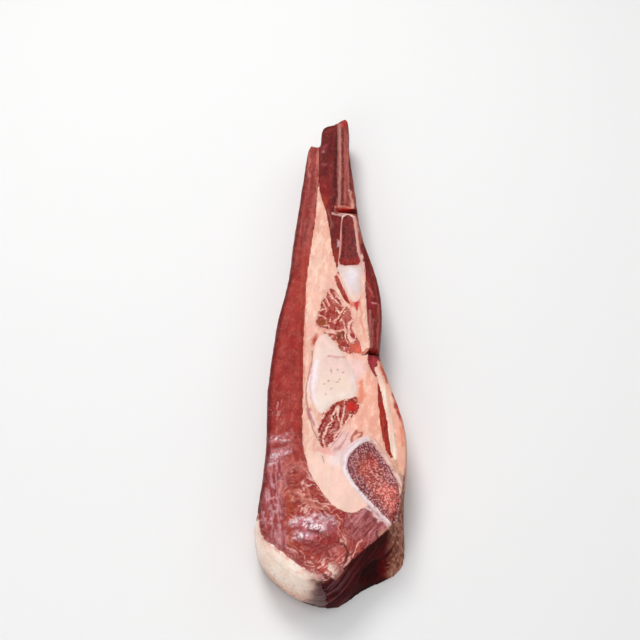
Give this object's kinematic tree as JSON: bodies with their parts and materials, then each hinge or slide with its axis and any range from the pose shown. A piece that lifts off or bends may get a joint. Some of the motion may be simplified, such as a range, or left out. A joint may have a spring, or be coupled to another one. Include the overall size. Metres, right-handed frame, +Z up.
{
  "type": "bone-in beef brisket slice",
  "caption": "Thick raw slice of bone-in beef brisket, sawn across the ribs, with breastbone, cartilage, rib, marbled muscles and fat seams running through it.",
  "frame": {"origin": "middle of the lower cut face's box, on the surface that the slice lies on", "axes": "+Y along the slice, away from the thick breastbone end; +Z up, out of the upper cut face; +X across, towards the inner side with the ribs"},
  "size_m": [0.1024, 0.4065, 0.045],
  "materials": {
    "muscle": "moist raw red muscle with a fine grain and small pale flecks",
    "dark_muscle": "moist raw dark red muscle",
    "marbled_muscle": "moist raw red muscle netted with pale fat",
    "striped_flap": "thin muscle and pale membrane in stripes",
    "fat": "pale pinkish waxy fat",
    "fat_cap": "smooth cream fat",
    "tendon": "cream tendon, satin",
    "cartilage": "smooth ivory cartilage with a bluish rim",
    "bone_rim": "dense pale bone and membrane",
    "spongy_bone": "spongy dark red bone with pale specks",
    "marrow": "dark red marrow between spongy bone"
  },
  "bodies": {
    "root": {"outer_muscle": "muscle", "upper_muscle": "dark_muscle", "inner_muscle": "dark_muscle", "inner_thin_muscle": "dark_muscle", "rib_side_muscle": "marbled_muscle", "upper_marbled_muscle": "marbled_muscle", "lower_marbled_muscle": "marbled_muscle", "striped_flap": "striped_flap", "seam_fat": "fat", "fat_cap": "fat_cap", "fat_nub": "fat_cap", "inner_tendon": "tendon", "costal_cartilage": "cartilage", "rib_cartilage": "cartilage", "breastbone_rim": "bone_rim", "rib_cortex": "bone_rim", "breastbone_core": "spongy_bone", "rib_marrow": "marrow"}
  },
  "joints": []
}
